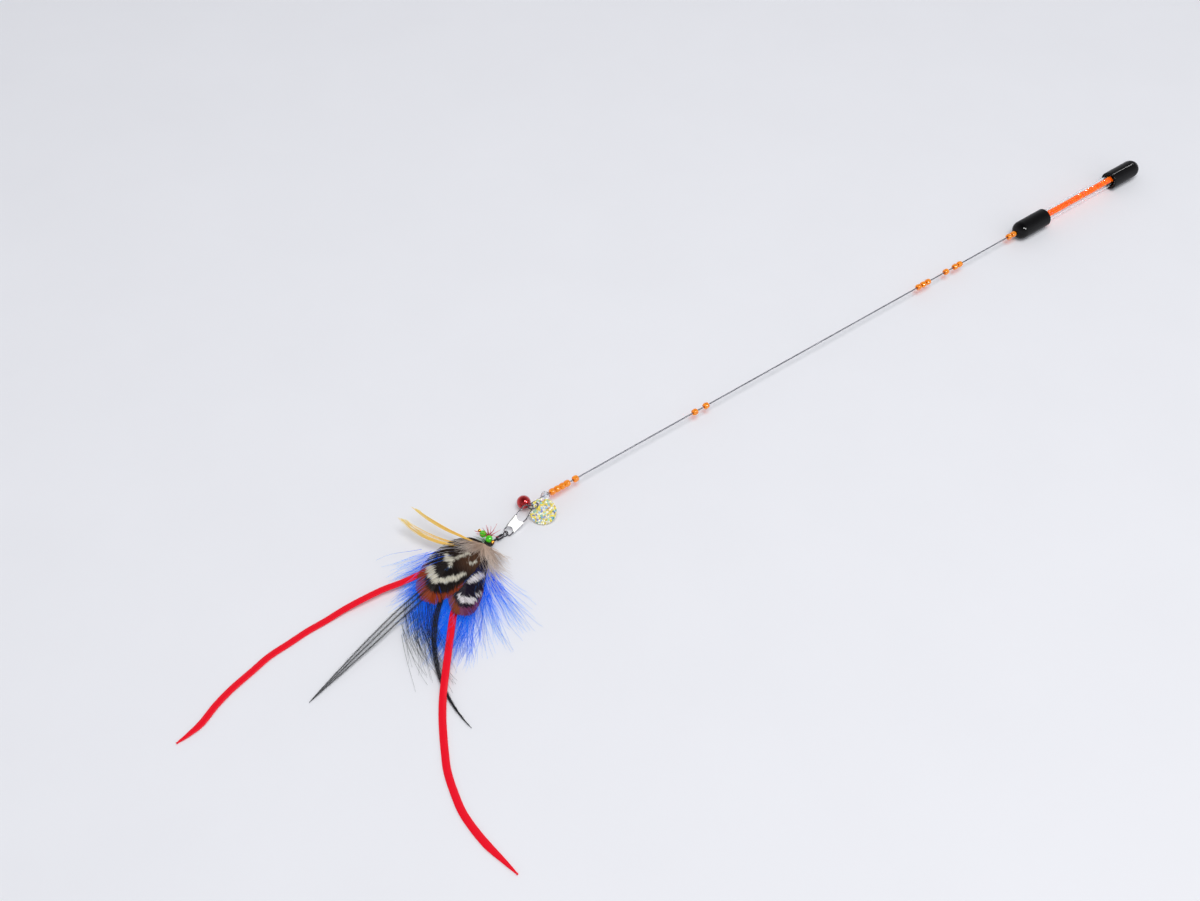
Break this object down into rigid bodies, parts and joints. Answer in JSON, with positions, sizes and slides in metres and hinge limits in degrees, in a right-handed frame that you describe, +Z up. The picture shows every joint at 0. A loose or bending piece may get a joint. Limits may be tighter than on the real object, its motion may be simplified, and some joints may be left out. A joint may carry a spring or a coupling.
{
  "type": "cat teaser wand",
  "caption": "Cat teaser wand with a bead-filled clear tube handle, dome caps, a straight spring wire with loose beads, and a feather lure on a snap swivel.",
  "frame": {"origin": "on the wand's axis at the rear end face of the clear tube, inside the rear cap", "axes": "+X out of the rear cap's end along the wand's axis, +Z up from the surface that the wand lies on; the lure lies at negative X"},
  "size_m": [0.736, 0.2035, 0.0151],
  "materials": {
    "clear_tube": "clear polished",
    "clear_liner": "clear soft plastic",
    "orange_beads": "tiny beads, glossy",
    "black_rubber": "smooth, glossy",
    "plug_plastic": "satin",
    "spring_wire": "drawn, grey",
    "amber_beads": "translucent, glossy",
    "crystal": "faceted",
    "red_metal": "red metallic lacquer",
    "steel_ball": "polished",
    "sequin_film": "iridescent mosaic",
    "snap_steel": "bright",
    "black_nickel": "dark plated",
    "core_cord": "bound",
    "dark_thread": "waxed thread",
    "green_glass": "glossy",
    "gold_metal": "polished",
    "red_thread": "thread",
    "pheasant": "barred feather",
    "golden_feather": "stiff golden feather",
    "black_hackle": "fine dark barbs",
    "blue_marabou": "soft down",
    "grey_down": "soft down",
    "red_ribbon": "satin strip"
  },
  "bodies": {
    "handle_and_wire": {"grip_tube": "clear_tube", "bead_liner": "clear_liner", "bead_fill": "orange_beads", "front_cap": "black_rubber", "rear_cap": "black_rubber", "wire_plug": "plug_plastic", "main_wire": "spring_wire", "wire_end_loop": "spring_wire"},
    "nose_beads": {"nose_beads": "amber_beads"},
    "rear_pair_beads": {"rear_pair_beads": "amber_beads"},
    "rear_single_bead": {"rear_single_bead": "amber_beads"},
    "rear_three_beads": {"rear_three_beads": "amber_beads"},
    "middle_rear_bead": {"middle_rear_bead": "amber_beads"},
    "middle_front_bead": {"middle_front_bead": "amber_beads"},
    "front_single_bead": {"front_single_bead": "amber_beads"},
    "front_four_beads": {"front_four_beads": "amber_beads"},
    "crystal_bead": {"crystal_bead": "crystal"},
    "bell": {"bell_shell": "red_metal", "bell_ball": "steel_ball"},
    "sequin": {"sequin": "sequin_film"},
    "snap": {"snap_wire_loop": "snap_steel", "snap_plate": "snap_steel"},
    "swivel_upper_eye": {"swivel_upper_eye": "black_nickel"},
    "swivel_barrel": {"swivel_barrel": "black_nickel"},
    "lure": {"swivel_lower_eye": "black_nickel", "head_core": "core_cord", "head_thread": "dark_thread", "cross_thread": "red_thread", "green_beads": "green_glass", "gold_beads": "gold_metal", "red_thread": "red_thread", "large_feather": "pheasant", "small_feather": "pheasant", "upper_crest": "golden_feather", "lower_crest": "golden_feather", "long_hackle": "black_hackle", "curved_hackle": "black_hackle", "marabou_fan": "blue_marabou", "down_tuft": "grey_down", "side_ribbon": "red_ribbon", "front_ribbon": "red_ribbon"}
  },
  "joints": [
    {"name": "nose_slide", "type": "slide", "parent": "handle_and_wire", "child": "nose_beads", "axis": [1, 0, 0], "range_m": [-0.022, 0]},
    {"name": "rear_pair_slide", "type": "slide", "parent": "handle_and_wire", "child": "rear_pair_beads", "axis": [1, 0, 0], "range_m": [-0.0024, 0.021]},
    {"name": "rear_single_slide", "type": "slide", "parent": "handle_and_wire", "child": "rear_single_bead", "axis": [1, 0, 0], "range_m": [-0.0065, 0.0024]},
    {"name": "rear_three_slide", "type": "slide", "parent": "handle_and_wire", "child": "rear_three_beads", "axis": [1, 0, 0], "range_m": [-0.086, 0.0065]},
    {"name": "middle_rear_slide", "type": "slide", "parent": "handle_and_wire", "child": "middle_rear_bead", "axis": [1, 0, 0], "range_m": [-0.0025, 0.086]},
    {"name": "middle_front_slide", "type": "slide", "parent": "handle_and_wire", "child": "middle_front_bead", "axis": [1, 0, 0], "range_m": [-0.0415, 0.0025]},
    {"name": "front_single_slide", "type": "slide", "parent": "handle_and_wire", "child": "front_single_bead", "axis": [1, 0, 0], "range_m": [-0.001, 0.0415]},
    {"name": "front_four_slide", "type": "slide", "parent": "handle_and_wire", "child": "front_four_beads", "axis": [1, 0, 0], "range_m": [-0.0003, 0.001]},
    {"name": "crystal_slide", "type": "slide", "parent": "handle_and_wire", "child": "crystal_bead", "axis": [1, 0, 0], "range_m": [-0.0006, 0.0003]},
    {"name": "bell_swing", "type": "hinge", "parent": "handle_and_wire", "child": "bell", "pos_m": [-0.50656, -0.00016, 0.00006], "axis": [-0.9397, -0.3214, 0.117], "range_deg": [-80, 60]},
    {"name": "sequin_swing", "type": "hinge", "parent": "handle_and_wire", "child": "sequin", "pos_m": [-0.50284, -0.00309, 0.00112], "axis": [0.1736, 0.9254, -0.3368], "range_deg": [-90, 0]},
    {"name": "snap_swing", "type": "hinge", "parent": "handle_and_wire", "child": "snap", "pos_m": [-0.5084, -0.00263, 0.00096], "axis": [0, -0.9397, 0.342], "range_deg": [-10, 28]},
    {"name": "swivel_pivot", "type": "hinge", "parent": "snap", "child": "swivel_upper_eye", "pos_m": [-0.52623, -0.00637, -0.00452], "axis": [0.2533, -0.8775, -0.4072], "range_deg": [-80, 80]},
    {"name": "barrel_spin", "type": "hinge", "parent": "swivel_upper_eye", "child": "swivel_barrel", "pos_m": [-0.53087, -0.00669, -0.0042], "axis": [-0.9951, -0.0696, 0.0698], "continuous": true},
    {"name": "lure_spin", "type": "hinge", "parent": "swivel_barrel", "child": "lure", "pos_m": [-0.53087, -0.00669, -0.0042], "axis": [-0.9951, -0.0696, 0.0698], "continuous": true}
  ]
}
